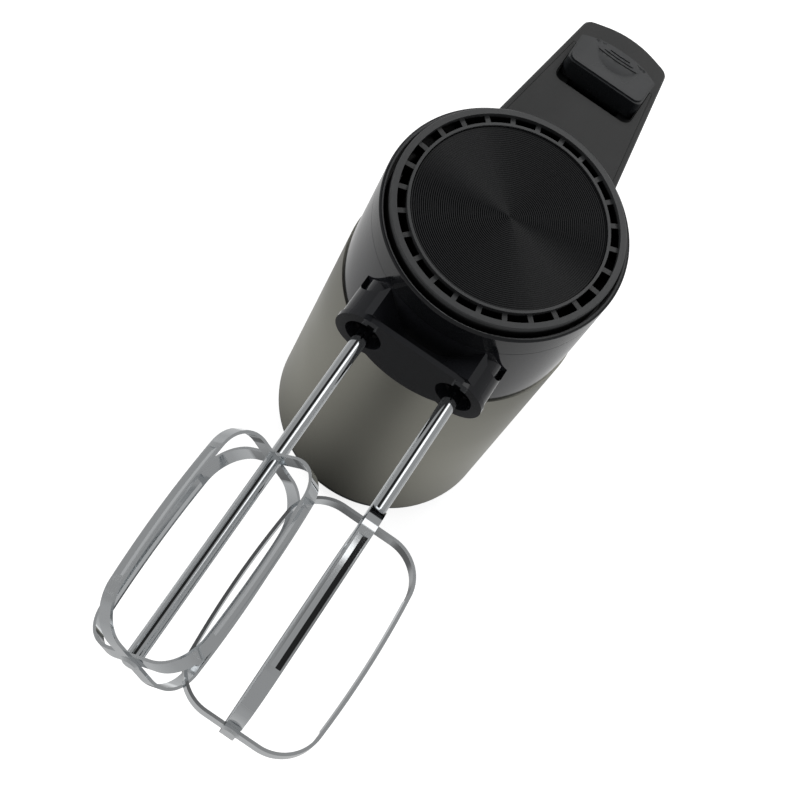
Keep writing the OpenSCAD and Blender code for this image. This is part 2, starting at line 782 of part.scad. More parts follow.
// Cast frame that carries the worm, the spindles and the front of the motor.
module gear_frame() {
    l = front_wall_z + bush_w - rear_wall_z;
    color([0.7, 0.7, 0.68])
    difference() {
        union() {
            translate([0, frame_y + frame_t, rear_wall_z + l / 2]) rotate([90, 0, 0])
                rounded_block(2 * frame_half, l, frame_t, 4);
            for (z = [rear_wall_z, front_wall_z]) {
                translate([-10, 0, z]) cube([20, frame_y + 1, bush_w]);
                translate([0, 0, z]) cylinder(r = 10, h = bush_w);
            }
        }
        for (sx = [-1, 1]) down(40, sx * spin_x) cylinder(r = sleeve_r + 1.6, h = 60);
        for (z = [rear_wall_z, front_wall_z]) translate([0, 0, z - 1]) cylinder(r = bush_r, h = bush_w + 2);
        for (sx = [-1, 1], z = post_zs) down(40, sx * post_x, z) cylinder(r = 1.6, h = 60);
    }
}

module gear_frame_screws() {
    grip = 8;
    color([0.6, 0.6, 0.6])
    for (sx = [-1, 1], z = post_zs) {
        down(frame_y, sx * post_x, z) cylinder(r = 2.8, h = 1.9);
        down(frame_y + frame_t + grip, sx * post_x, z) cylinder(r = 1.35, h = frame_t + grip + eps);
    }
}

// Bronze bushes of the two spindles, one in the boss and one in the frame for each.
module spindle_bushes() {
    inner = boss_y - socket_depth;
    color([0.7, 0.5, 0.25])
    for (sx = [-1, 1]) {
        down(-inner + bush_l, sx * spin_x) ring(socket_r - 0.02, sleeve_r + run_fit, bush_l);
        down(frame_y + frame_t, sx * spin_x) ring(sleeve_r + 1.58, sleeve_r + run_fit, frame_t);
    }
}

module shaft_bushes() {
    color([0.7, 0.5, 0.25])
    for (z = [rear_bush_z, rear_wall_z, front_wall_z]) translate([0, 0, z])
        ring(bush_r - 0.02, motor_r + run_fit, bush_w);
}

module motor_shaft() {
    color([0.75, 0.75, 0.77])
    translate([0, 0, shaft_low]) cylinder(r = motor_r, h = front_wall_z + bush_w - shaft_low);
}

// Worm pressed on the shaft, its cross-section twisted along the axis.
module motor_worm() {
    half = (pitch - backlash) / 4;
    rim = [for (i = [-2 : 1]) [worm_root, 10 * i + 5]];
    function swing(r) = 360 * (half - (r - worm_r) * flank) / lead;
    side = [for (i = [0 : 3]) let (r = worm_root + (worm_tip - worm_root) * i / 3) [r, swing(r)]];
    thread = concat(
        [for (p = side) [p[0], -p[1]]],
        [for (i = [3 : -1 : 0]) side[i]],
        [for (p = rim) [p[0], 180 / worm_starts + p[1]]]);
    turn = 360 * worm_l / lead;
    color([0.78, 0.78, 0.76])
    translate([0, 0, spin_z - worm_l / 2]) difference() {
        rotate(-turn / 2) linear_extrude(worm_l, twist = -turn, slices = ceil(turn / 24), $fn = 24)
            polygon([for (s = [0 : worm_starts - 1], p = thread)
                let (a = p[1] + 360 * s / worm_starts) [p[0] * cos(a), p[0] * sin(a)]]);
        translate([0, 0, -1]) cylinder(r = motor_r + 0.02, h = worm_l + 2);
    }
}

// Worm wheel with teeth that lean at the worm's lead angle.
module worm_wheel(sx) {
    tip = wheel_r + 0.9 * gear_m;
    root = wheel_r - 1.2 * gear_m;
    step = 360 / wheel_teeth;
    half = (pitch / 2 - backlash / 2) / 2;
    function ang(r, h) = h / r * 180 / PI;
    h_tip = half - (tip - wheel_r) * flank;
    h_root = half + (wheel_r - root) * flank;
    twist = wheel_w * tan(lead_angle) / wheel_r * 180 / PI;
    // the gap between two teeth faces the worm at rest
    start = (sx > 0 ? 180 : 0) + step / 2;
    color([0.85, 0.84, 0.78])
    down(wheel_w / 2, sx * spin_x) difference() {
        union() {
            rotate(-twist / 2) linear_extrude(wheel_w, twist = -twist, slices = 5) polygon([
                for (i = [0 : wheel_teeth - 1],
                    p = [[root, -h_root], [tip, -h_tip], [tip, h_tip], [root, h_root]])
                    let (a = start + i * step + ang(p[0], p[1])) [p[0] * cos(a), p[0] * sin(a)]]);
            translate([0, 0, -3]) cylinder(r = sleeve_r + 2.5, h = wheel_w + 7);
        }
        translate([0, 0, -10]) cylinder(r = sleeve_r + 0.02, h = 40);
        // webs between hub and rim
        for (i = [0 : 5]) rotate(60 * i) translate([(sleeve_r + root) / 2 + 1.2, 0, -1])
            cylinder(r = 2, h = wheel_w + 2);
    }
}
module worm_wheel_left() { worm_wheel(-1); }
module worm_wheel_right() { worm_wheel(1); }

// Hollow spindle that carries a worm wheel and takes a beater shaft.
module spindle(sx) {
    color([0.6, 0.6, 0.6])
    difference() {
        down(sleeve_top, sx * spin_x) cylinder(r = sleeve_r, h = sleeve_top - sleeve_low);
        down(plug_top + 1, sx * spin_x) cylinder(r = shaft_d / 2 + run_fit, h = 80);
        down(60, sx * spin_x) cylinder(r = pin_r + run_fit, h = 120);
        // keyway for the wings of the beater shaft
        translate([sx * spin_x - sleeve_r - 1, sleeve_low - 1, spin_z - key_w / 2 - 0.1])
            cube([2 * sleeve_r + 2, 12, key_w + 0.2]);
    }
}
module spindle_left() { spindle(-1); }
module spindle_right() { spindle(1); }

// Pin that slides in the spindle and pushes the beater out.
module ejector_pin(sx) {
    color([0.75, 0.75, 0.72])
    union() {
        down(yoke_y - 0.3, sx * spin_x) cylinder(r = pin_r, h = yoke_y - 0.3 - plug_top - 0.2);
        down(yoke_y - 0.3, sx * spin_x) cylinder(r = pin_r + 1.2, h = 1.5);
    }
}
module ejector_pin_left() { ejector_pin(-1); }
module ejector_pin_right() { ejector_pin(1); }

// ---------------------------------------------------------------- motor

module motor_frame() {
    r = stator_d / 2;
    color([0.3, 0.3, 0.32])
    intersection() {
        union() {
            translate([0, 0, stack_z - 3]) ring(r + 2.5, r + 0.05, stack_l + 6);
            for (a = [45 : 90 : 315]) rotate(a) translate([r + 1, -1.5, stack_z - 3])
                cube([30, 3, stack_l + 6]);
        }
        cylinder(r = shell_in - plug_fit, h = body_l);
    }
}

module field_stack() {
    r = stator_d / 2;
    color([0.35, 0.35, 0.37])
    difference() {
        translate([0, 0, stack_z]) ring(r, rotor_r + spin_gap, stack_l);
        for (a = [90, 270]) rotate(a) translate([0, 0, stack_z - 1]) rotate([0, 0, -40])
            rotate_extrude(angle = 80) translate([rotor_r + 2.6, 0]) square([6.8, stack_l + 2]);
    }
}

module field_coils() {
    color([0.6, 0.3, 0.12])
    for (a = [90, 270]) rotate(a) translate([0, 0, stack_z - 7]) rotate([0, 0, -38])
        rotate_extrude(angle = 76) translate([rotor_r + 2.8, 0]) square([6.4, stack_l + 14]);
}

module rotor_core() {
    teeth = 12;
    color([0.4, 0.4, 0.42])
    difference() {
        translate([0, 0, stack_z + 1]) ring(rotor_r, motor_r + 0.02, stack_l - 2);
        for (i = [0 : teeth - 1]) rotate(i * 360 / teeth) translate([rotor_r - 5, -0.9, stack_z])
            cube([6, 1.8, stack_l]);
    }
}

module commutator() {
    slits = 12;
    color([0.75, 0.42, 0.2])
    difference() {
        translate([0, 0, comm_z]) ring(comm_r, motor_r + 0.02, comm_l);
        for (i = [0 : slits - 1]) rotate(i * 360 / slits) translate([comm_r - 1, -0.3, comm_z - 1])
            cube([2, 0.6, comm_l + 2]);
    }
}

module cooling_fan() {
    blades = 11;
    color([0.2, 0.2, 0.22])
    difference() {
        union() {
            translate([0, 0, fan_z]) cylinder(r = fan_r, h = 1.4);
            translate([0, 0, fan_z]) cylinder(r = 7, h = fan_l);
            intersection() {
                union() for (i = [0 : blades - 1]) rotate(i * 360 / blades) translate([fan_r * 0.62, 0, fan_z])
                    rotate(35) translate([-fan_r * 0.45, -0.6, 0]) cube([fan_r * 0.9, 1.2, fan_l]);
                translate([0, 0, fan_z]) cylinder(r = fan_r, h = fan_l);
            }
        }
        translate([0, 0, fan_z - 1]) cylinder(r = motor_r + 0.02, h = fan_l + 2);
    }
}

module rear_bracket() {
    color([0.3, 0.3, 0.32])
    difference() {
        union() {
            intersection() {
                translate([-shell_r, -9, rear_bush_z]) cube([2 * shell_r, 18, bush_w]);
                cylinder(r = shell_in - plug_fit, h = body_l);
            }
            translate([0, 0, rear_bush_z]) cylinder(r = 14, h = bush_w);
            for (sx = [-1, 1]) translate([sx * foot_x, 0, post_low])
                cylinder(r = 4, h = rear_bush_z - post_low + 1);
        }
        for (sx = [-1, 1]) translate([sx * foot_x, 0, post_low - 1]) cylinder(r = 1.6, h = 18);
        translate([0, 0, rear_bush_z - 1]) cylinder(r = bush_r, h = bush_w + 2);
    }
}

module brush_holders() {
    color([0.7, 0.55, 0.25])
    for (sx = [-1, 1]) difference() {
        translate([sx * 22 - 9, -5, rear_bush_z + bush_w])
            cube([18, 10, comm_z + comm_l - 1 - rear_bush_z - bush_w]);
        translate([sx * 22 - 10, -3.1, comm_z + 2]) cube([20, 6.2, 7.2]);
    }
}

module carbon_brushes() {
    color([0.1, 0.1, 0.1])
    for (sx = [-1, 1]) difference() {
        translate([sx * 19 - 9, -3, comm_z + 2.1]) cube([18, 6, 7]);
        cylinder(r = comm_r + 0.3, h = 80);
    }
}

// ---------------------------------------------------------------- beaters

// Outline of a loop drawn in by d, with bowed legs that meet the corners without a kink.
module loop_outline(d) {
    r = loop_r - d;
    bow = bow_r - d;
    bow_x = bow_r - loop_w / 2;
    corner_x = sqrt(pow(bow_r - loop_r, 2) - pow(leg_half, 2)) - bow_x;
    for (sx = [-1, 1], sy = [-1, 1]) translate([sx * corner_x, sy * leg_half]) circle(r = r);
    square([2 * corner_x, 2 * (leg_half + r)], center = true);
    intersection() {
        legs = 2 * leg_half * bow / (bow_r - loop_r);
        translate([-bow_x, 0]) circle(r = bow, $fn = 720);
        translate([bow_x, 0]) circle(r = bow, $fn = 720);
        square([loop_w, legs], center = true);
    }
}

// Ridge along a leg, a flat wedge swept along the bow at radius r.
module leg_wedge(r, depth) {
    rotate(-crease_turn) rotate_extrude(angle = 2 * crease_turn, $fn = 720)
        polygon([[r, -crease_w / 2], [r - depth, 0], [r, crease_w / 2]]);
}

// A closed strap bent into a loop, in the plane of x and the beater axis, with creased legs.
module loop_strap(mid, sx, a) {
    bow_x = bow_r - loop_w / 2;
    translate([sx * spin_x, mid, spin_z]) rotate([0, a, 0]) difference() {
        union() {
            translate([0, 0, -strap_w / 2]) difference() {
                linear_extrude(strap_w) loop_outline(0);
                translate([0, 0, -1]) linear_extrude(strap_w + 2) loop_outline(strap_t);
            }
            for (leg = [0, 180]) rotate([0, leg, 0]) translate([-bow_x, 0, 0])
                leg_wedge(bow_r - strap_t + eps, crease);
        }
        for (leg = [0, 180]) rotate([0, leg, 0]) translate([-bow_x, 0, 0]) leg_wedge(bow_r + eps, crease);
        rotate([90, 0, 0]) translate([0, 0, -loop_h]) cylinder(r = neck_r + eps, h = 2 * loop_h);
    }
}

// Shaft with a thinner neck where the loops are clamped, above and at its riveted end.
module beater_shaft(sx) {
    rivet = 0.9;
    r = shaft_d / 2;
    inner_top = beater_low + loop_h + strap_t + eps;
    color([0.85, 0.86, 0.88])
    union() {
        down(plug_top, sx * spin_x) cylinder(r = r, h = plug_top - inner_top - eps);
        down(inner_top - neck_h + eps, sx * spin_x)
            cylinder(r = r, h = inner_top - beater_low - 2 * neck_h + 2 * eps);
        down(plug_top - 5, sx * spin_x) cylinder(r = neck_r, h = plug_top - 5 - beater_low + eps);
        // wings that the spindle drives
        translate([sx * spin_x - sleeve_r + 0.3, key_y, spin_z - key_w / 2])
            cube([2 * sleeve_r - 0.6, 5, key_w]);
        // riveted end under the loops
        down(beater_low - eps, sx * spin_x) cylinder(r1 = r + 0.6, r2 = r - 0.6, h = rivet);
    }
}
module beater_shaft_left() { beater_shaft(-1); }
module beater_shaft_right() { beater_shaft(1); }

// The left beater stands an eighth of a turn ahead, so that the loops pass each other.
// On each shaft one loop sits above the other by the thickness of the strap.
module outer_loop_left() { color([0.8, 0.81, 0.83]) loop_strap(loop_mid, -1, 45); }
module outer_loop_right() { color([0.8, 0.81, 0.83]) loop_strap(loop_mid, 1, 0); }
module inner_loop_left() { color([0.8, 0.81, 0.83]) loop_strap(loop_mid + strap_t + eps, -1, 135); }
module inner_loop_right() { color([0.8, 0.81, 0.83]) loop_strap(loop_mid + strap_t + eps, 1, 90); }

front_housing();
front_bezel();
nose_grille();
nose_disc();
body_shell();
rear_cover();
heel_pad();
rear_screws();
handle_shell();
front_panel();
control_panel();
cord_inlet();
eject_button();
eject_rod();
eject_spring();
speed_slider();
speed_switch();
turbo_button();
turbo_spring();
switch_board();
gear_frame();
gear_frame_screws();
motor_frame();
rear_bracket();
field_stack();
field_coils();
brush_holders();
carbon_brushes();
shaft_bushes();
motor_shaft();
motor_worm();
rotor_core();
commutator();
cooling_fan();
worm_wheel_left();
worm_wheel_right();
spindle_left();
spindle_right();
spindle_bushes();
ejector_pin_left();
ejector_pin_right();
beater_shaft_left();
beater_shaft_right();
outer_loop_left();
outer_loop_right();
inner_loop_left();
inner_loop_right();
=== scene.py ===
import math

import bmesh
import bpy
from mathutils import Matrix, Vector


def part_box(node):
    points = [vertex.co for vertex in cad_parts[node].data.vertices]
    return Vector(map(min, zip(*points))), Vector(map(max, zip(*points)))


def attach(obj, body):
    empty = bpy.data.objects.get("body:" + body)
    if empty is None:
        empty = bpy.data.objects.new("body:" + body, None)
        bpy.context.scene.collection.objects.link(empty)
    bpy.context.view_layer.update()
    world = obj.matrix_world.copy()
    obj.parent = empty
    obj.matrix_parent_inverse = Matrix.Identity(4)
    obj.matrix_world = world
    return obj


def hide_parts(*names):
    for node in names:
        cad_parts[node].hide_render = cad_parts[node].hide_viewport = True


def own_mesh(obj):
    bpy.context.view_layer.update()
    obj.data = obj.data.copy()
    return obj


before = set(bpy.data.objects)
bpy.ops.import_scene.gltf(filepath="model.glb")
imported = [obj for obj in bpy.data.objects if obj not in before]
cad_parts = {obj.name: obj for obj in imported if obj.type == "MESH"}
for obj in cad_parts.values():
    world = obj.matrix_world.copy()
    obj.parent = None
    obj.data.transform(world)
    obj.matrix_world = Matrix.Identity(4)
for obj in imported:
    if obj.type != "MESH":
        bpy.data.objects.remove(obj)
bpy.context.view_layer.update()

# Camera. It looks down on the nose of the mixer from the beaters' side, rolled so that the
# body lies across the view from low left to high right.
camera_data = bpy.data.cameras.new("camera")
camera_data.sensor_width = 36.0
camera_data.sensor_fit = "HORIZONTAL"
camera_data.lens = 81.23
camera = bpy.data.objects.new("camera", camera_data)
bpy.context.scene.collection.objects.link(camera)
look_right = Vector((0.8258, 0.5034, 0.2543)).normalized()
look_back = Vector((-0.0001, -0.4508, 0.8926)).normalized()
look_up = look_back.cross(look_right).normalized()
look_right = look_up.cross(look_back).normalized()
camera.matrix_world = Matrix.Translation((0.00456, -0.36830, 0.75598)) @ Matrix(
    (look_right, look_up, look_back)).transposed().to_4x4()
bpy.context.scene.camera = camera
bpy.context.scene.view_settings.view_transform = "Standard"


# Sweep. It is white paper under the mixer that still takes a shadow. Polished parts mirror
# it as the same white, which the scrim that follows then dims.
def linear(code):
    parts = [int(code[i:i + 2], 16) / 255 for i in (1, 3, 5)]
    return [c / 12.92 if c <= 0.04045 else ((c + 0.055) / 1.055) ** 2.4 for c in parts] + [1.0]


def add_node(tree, kind, sockets=None, **settings):
    made = tree.nodes.new(kind)
    for name, value in settings.items():
        setattr(made, name, value)
    for name, value in (sockets or {}).items():
        if isinstance(value, bpy.types.NodeSocket):
            tree.links.new(value, made.inputs[name])
        else:
            made.inputs[name].default_value = value
    return made


def link_object(name, mesh):
    thing = bpy.data.objects.new(name, mesh)
    bpy.context.scene.collection.objects.link(thing)
    return thing


sweep_mesh = bpy.data.meshes.new("sweep")
form = bmesh.new()
bmesh.ops.create_grid(form, x_segments=1, y_segments=1, size=4.0)
form.to_mesh(sweep_mesh)
form.free()
sweep = link_object("sweep", sweep_mesh)
sweep_paint = bpy.data.materials.new("white_sweep_paper")
sweep_paint.use_nodes = True
tree = sweep_paint.node_tree
tree.nodes.clear()
paper = add_node(tree, "ShaderNodeBsdfDiffuse", {"Color": linear("#c8c8c8")})
glow = add_node(tree, "ShaderNodeEmission", {"Color": (1, 1, 1, 1), "Strength": 0.78})
lit = add_node(tree, "ShaderNodeAddShader", {0: paper.outputs[0], 1: glow.outputs[0]})
seen = add_node(tree, "ShaderNodeLightPath")
mirrored = add_node(tree, "ShaderNodeMath", {
    0: seen.outputs["Is Glossy Ray"], 1: seen.outputs["Is Transmission Ray"]}, operation="MAXIMUM")
shown = add_node(tree, "ShaderNodeMath", {
    0: seen.outputs["Is Camera Ray"], 1: mirrored.outputs[0]}, operation="MAXIMUM")
sides = add_node(tree, "ShaderNodeMixShader", {
    0: shown.outputs[0], 1: paper.outputs[0], 2: lit.outputs[0]})
add_node(tree, "ShaderNodeOutputMaterial", {"Surface": sides.outputs[0]})
sweep_mesh.materials.append(sweep_paint)

# Scrim. A sheet of black net lies on the sweep and only reflections show it, so it darkens
# the floor that polished parts mirror. It is open beside the mixer, denser from a hand's width
# outwards, and closest woven at the foot of the shell and under the beaters, as painted shadow.
scrim_mesh = bpy.data.meshes.new("floor_scrim_painted_shadow")
form = bmesh.new()
bmesh.ops.create_grid(form, x_segments=1, y_segments=1, size=3.9)
bmesh.ops.translate(form, vec=(0.0, 0.0, 0.0008), verts=form.verts)
form.to_mesh(scrim_mesh)
form.free()
scrim = link_object("floor_scrim_painted_shadow", scrim_mesh)
scrim.visible_camera = scrim.visible_diffuse = scrim.visible_shadow = False
scrim.visible_transmission = False
net = bpy.data.materials.new("black_net_painted_shadow")
net.use_nodes = True
tree = net.node_tree
tree.nodes.clear()
spot = add_node(tree, "ShaderNodeTexCoord").outputs["Object"]
open_part = 1.0
for middle, draw_out, inner, outer, open_in, open_out, blend in (
        ((0, 0, 0), 1.0, 0.076, 0.124, 1.0, 0.5, "SMOOTHSTEP"),
        ((0, 0, 0), 1.0, 0.13, 0.5, 1.0, 0.75, "LINEAR"),
        ((0, -0.045, 0), 1.3, 0.0, 0.095, 0.05, 1.0, "SMOOTHSTEP"),
        ((0, -0.165, 0), 0.85, 0.03, 0.07, 0.25, 1.0, "SMOOTHSTEP")):
    off = add_node(tree, "ShaderNodeVectorMath", {0: spot, 1: middle}, operation="SUBTRACT")
    drawn = add_node(tree, "ShaderNodeVectorMath", {
        0: off.outputs[0], 1: (1, 1 / draw_out, 0)}, operation="MULTIPLY")
    far = add_node(tree, "ShaderNodeVectorMath", {0: drawn.outputs[0]}, operation="LENGTH")
    shadow_grade = add_node(tree, "ShaderNodeMapRange", {
        "Value": far.outputs["Value"], "From Min": inner, "From Max": outer,
        "To Min": open_in, "To Max": open_out}, interpolation_type=blend)
    open_part = add_node(tree, "ShaderNodeMath", {
        0: open_part, 1: shadow_grade.outputs["Result"]}, operation="MULTIPLY").outputs[0]
clear = add_node(tree, "ShaderNodeBsdfTransparent")
black = add_node(tree, "ShaderNodeBsdfDiffuse", {"Color": linear("#040404")})
# Where the net is dense it paints shadow into the reflections of the floor.
laid = add_node(tree, "ShaderNodeMixShader", {
    0: open_part, 1: black.outputs[0], 2: clear.outputs[0]})
add_node(tree, "ShaderNodeOutputMaterial", {"Surface": laid.outputs[0]})
scrim_mesh.materials.append(net)

# Room. It is white to the camera and evenly grey to the mixer, also in its reflections, with
# a darker patch of ceiling over the left shoulder that draws a line down the shafts.
room_grey, patch_grey = 0.37, 0.02
patch_way = (-0.3, 0.3, 0.905)
room = bpy.data.worlds.new("room")
room.use_nodes = True
tree = room.node_tree
tree.nodes.clear()
seen = add_node(tree, "ShaderNodeLightPath")
fill = add_node(tree, "ShaderNodeBackground", {"Color": (1, 1, 1, 1), "Strength": 0.36})
aim = add_node(tree, "ShaderNodeTexCoord").outputs["Generated"]
away = add_node(tree, "ShaderNodeVectorMath", {0: aim, 1: patch_way}, operation="DOT_PRODUCT")
ceiling = add_node(tree, "ShaderNodeMapRange", {
    "Value": away.outputs["Value"], "From Min": 0.93, "From Max": 0.97,
    "To Min": room_grey, "To Max": patch_grey}, interpolation_type="SMOOTHSTEP")
dim = add_node(tree, "ShaderNodeBackground", {
    "Color": (1, 1, 1, 1), "Strength": ceiling.outputs["Result"]})
white = add_node(tree, "ShaderNodeBackground", {"Color": (1, 1, 1, 1), "Strength": 1.0})
walls = add_node(tree, "ShaderNodeMixShader", {
    0: seen.outputs["Is Glossy Ray"], 1: fill.outputs[0], 2: dim.outputs[0]})
shown = add_node(tree, "ShaderNodeMath", {
    0: seen.outputs["Is Camera Ray"], 1: seen.outputs["Is Transmission Ray"]}, operation="MAXIMUM")
mixed = add_node(tree, "ShaderNodeMixShader", {
    0: shown.outputs[0], 1: walls.outputs[0], 2: white.outputs[0]})
add_node(tree, "ShaderNodeOutputWorld", {"Surface": mixed.outputs[0]})
bpy.context.scene.world = room

# Lamps. Four soft boxes light the mixer from above, behind and both sides. The polished
# parts mirror only the two that hang over it.
for name, place, aim, size, power in (
        ("soft_box_over", (0.41, 0.58, 1.46), (0, -0.08, 0.17), (0.56, 0.4), 0.95),
        ("back_box_over", (-0.15, 1.0, 1.2), (0, -0.08, 0.17), (1.4, 0.5), 2.6),
        ("soft_box_left", (-1.3, 0.1, 0.7), (0, 0, 0.1), (0.5, 0.8), 9.0),
        ("soft_box_right", (1.3, 0.4, 0.6), (0, 0, 0.1), (0.4, 0.8), 6.0)):
    lamp_data = bpy.data.lights.new(name, "AREA")
    lamp_data.shape = "RECTANGLE"
    lamp_data.size, lamp_data.size_y = size
    lamp_data.energy = power
    lamp = link_object(name, lamp_data)
    lamp.visible_glossy = "over" in name
    lamp.location = place
    lamp.rotation_euler = (Vector(aim) - Vector(place)).to_track_quat("-Z", "Y").to_euler()


# Motor shaft, worm and ejector pins. They are ground carbon steel, so fine marks run round
# them and their shine is drawn out a little.
def new_surface(name):
    surface = bpy.data.materials.new(name)
    surface.use_nodes = True
    tree = surface.node_tree
    tree.nodes.clear()
    shader = add_node(tree, "ShaderNodeBsdfPrincipled")
    add_node(tree, "ShaderNodeOutputMaterial", {"Surface": shader.outputs[0]})
    place = add_node(tree, "ShaderNodeTexCoord").outputs["Object"]
    return surface, tree, shader, place


def dress(surface, *names):
    for name in names:
        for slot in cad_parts[name].material_slots:
            slot.material = surface


def bare_metal(name, shade, rough, grain, stretch=(1, 1, 1)):
    surface, tree, shader, place = new_surface(name)
    drawn = add_node(tree, "ShaderNodeMapping", {"Vector": place, "Scale": stretch})
    marks = add_node(tree, "ShaderNodeTexNoise", {
        "Vector": drawn.outputs[0], "Scale": grain, "Detail": 3.0})
    cloud = add_node(tree, "ShaderNodeTexNoise", {"Vector": place, "Scale": 90.0, "Detail": 2.0})
    tone = add_node(tree, "ShaderNodeMapRange", {
        "Value": marks.outputs["Fac"], "From Min": 0.3, "From Max": 0.7,
        "To Min": rough * 0.8, "To Max": rough * 1.2})
    stain = add_node(tree, "ShaderNodeMixRGB", {
        "Fac": cloud.outputs["Fac"], "Color1": linear(shade),
        "Color2": [c * 0.86 for c in linear(shade)[:3]] + [1.0]})
    bump = add_node(tree, "ShaderNodeBump", {
        "Strength": 0.15, "Distance": 0.00005, "Height": marks.outputs["Fac"]})
    shader.inputs["Metallic"].default_value = 1.0
    tree.links.new(stain.outputs[0], shader.inputs["Base Color"])
    tree.links.new(tone.outputs["Result"], shader.inputs["Roughness"])
    tree.links.new(bump.outputs["Normal"], shader.inputs["Normal"])
    return surface


dress(bare_metal("ground_carbon_steel", "#a9aaab", 0.28, 1500.0, (1, 1, 0.15)),
      "motor_shaft", "motor_worm", "ejector_pin_left", "ejector_pin_right")

# Spindles and eject rod. They are steel coloured near black, painted shade that keeps the
# open ends and the slot under the button dark.
dress(bare_metal("dark_steel_painted_shade", "#141415", 0.5, 1500.0),
      "spindle_left", "spindle_right", "eject_rod")

# Core stacks of the motor. Each is a pile of punched silicon steel sheets half a millimetre
# thick, so dark lines run round it. They are drawn 1 mm apart, coarser than the sheets, so
# that they show.
line_pitch = 0.001
surface, tree, shader, place = new_surface("punched_silicon_steel")
axes = add_node(tree, "ShaderNodeSeparateXYZ", {"Vector": place})
sheet = add_node(tree, "ShaderNodeMath", {
    0: axes.outputs["Z"], 1: 1 / line_pitch}, operation="MULTIPLY")
edge = add_node(tree, "ShaderNodeMath", {0: sheet.outputs[0], 1: 0.5}, operation="PINGPONG")
line = add_node(tree, "ShaderNodeMapRange", {
    "Value": edge.outputs[0], "From Min": 0.02, "From Max": 0.12, "To Min": 0.35, "To Max": 1.0})
varnish = add_node(tree, "ShaderNodeTexNoise", {"Vector": place, "Scale": 220.0, "Detail": 3.0})
shine = add_node(tree, "ShaderNodeMapRange", {
    "Value": varnish.outputs["Fac"], "To Min": 0.3, "To Max": 0.55})
tint = add_node(tree, "ShaderNodeMixRGB", {
    "Fac": line.outputs["Result"], "Color1": linear("#232427"), "Color2": linear("#6f7278")})
bump = add_node(tree, "ShaderNodeBump", {
    "Strength": 0.4, "Distance": 0.0001, "Height": line.outputs["Result"]})
shader.inputs["Metallic"].default_value = 0.85
tree.links.new(tint.outputs[0], shader.inputs["Base Color"])
tree.links.new(shine.outputs["Result"], shader.inputs["Roughness"])
tree.links.new(bump.outputs["Normal"], shader.inputs["Normal"])
dress(surface, "field_stack", "rotor_core")

# Field coils. They are enamelled copper wire of half a millimetre, laid turn by turn and
# dipped in amber varnish, so that they look like glossy ribbed bundles.
surface, tree, shader, place = new_surface("enamelled_copper_wire")
turns = add_node(tree, "ShaderNodeTexWave", {
    "Vector": place, "Scale": 320.0, "Distortion": 1.2, "Detail": 1.0, "Detail Scale": 1.5},
    bands_direction="DIAGONAL")
tint = add_node(tree, "ShaderNodeMixRGB", {
    "Fac": turns.outputs["Fac"], "Color1": linear("#6a2b12"), "Color2": linear("#b8622c")})
bump = add_node(tree, "ShaderNodeBump", {
    "Strength": 0.6, "Distance": 0.00025, "Height": turns.outputs["Fac"]})
shader.inputs["Metallic"].default_value = 0.7
shader.inputs["Roughness"].default_value = 0.3
shader.inputs["Coat Weight"].default_value = 0.5
shader.inputs["Coat Roughness"].default_value = 0.15
tree.links.new(tint.outputs[0], shader.inputs["Base Color"])
tree.links.new(bump.outputs["Normal"], shader.inputs["Normal"])
dress(surface, "field_coils")

# Commutator. Its copper bars are turned bright and parted by thin dark lines of mica. Every
# second line lies in a slot that is cut in the copper.
mica_lines = 24
surface, tree, shader, place = new_surface("turned_copper_bars")
axes = add_node(tree, "ShaderNodeSeparateXYZ", {"Vector": place})
turn = add_node(tree, "ShaderNodeMath", {
    0: axes.outputs["Y"], 1: axes.outputs["X"]}, operation="ARCTAN2")
bar = add_node(tree, "ShaderNodeMath", {
    0: turn.outputs[0], 1: mica_lines / math.tau}, operation="MULTIPLY")
side = add_node(tree, "ShaderNodeMath", {0: bar.outputs[0], 1: 0.5}, operation="PINGPONG")
copper = add_node(tree, "ShaderNodeMapRange", {
    "Value": side.outputs[0], "From Min": 0.04, "From Max": 0.09})
worn = add_node(tree, "ShaderNodeTexNoise", {"Vector": place, "Scale": 700.0, "Detail": 2.0})
tone = add_node(tree, "ShaderNodeMapRange", {
    "Value": worn.outputs["Fac"], "To Min": 0.2, "To Max": 0.4})
tint = add_node(tree, "ShaderNodeMixRGB", {
    "Fac": copper.outputs["Result"], "Color1": linear("#2b241d"), "Color2": linear("#c07a4e")})
tree.links.new(tint.outputs[0], shader.inputs["Base Color"])
tree.links.new(copper.outputs["Result"], shader.inputs["Metallic"])
tree.links.new(tone.outputs["Result"], shader.inputs["Roughness"])
dress(surface, "commutator")

# Brushes and their holders. The brushes are pressed graphite, dull and faintly speckled,
# and slide in drawn brass boxes.
surface, tree, shader, place = new_surface("pressed_graphite")
speck = add_node(tree, "ShaderNodeTexNoise", {"Vector": place, "Scale": 2500.0, "Detail": 4.0})
tint = add_node(tree, "ShaderNodeMixRGB", {
    "Fac": speck.outputs["Fac"], "Color1": linear("#17181a"), "Color2": linear("#3a3b3e")})
shader.inputs["Roughness"].default_value = 0.55
tree.links.new(tint.outputs[0], shader.inputs["Base Color"])
dress(surface, "carbon_brushes")
dress(bare_metal("drawn_brass", "#c9a24e", 0.3, 900.0, (1, 0.2, 1)), "brush_holders")

# Bushes. They are sintered bronze soaked in oil, darker than cast bronze and finely pitted.
# Three carry the motor shaft and four the spindles.
dress(bare_metal("oiled_sintered_bronze", "#6e5030", 0.42, 2600.0),
      "shaft_bushes", "spindle_bushes")

# Gear frame, rear bracket and their screws, which go into posts. The frame is pressure-cast
# zinc with a soft grey skin, and the bracket and screws are zinc-plated steel.
dress(bare_metal("cast_zinc", "#8e9092", 0.5, 500.0), "gear_frame")
dress(bare_metal("zinc_plated_steel", "#b9bdc2", 0.26, 1200.0), "gear_frame_screws",
      "rear_screws", "rear_bracket")


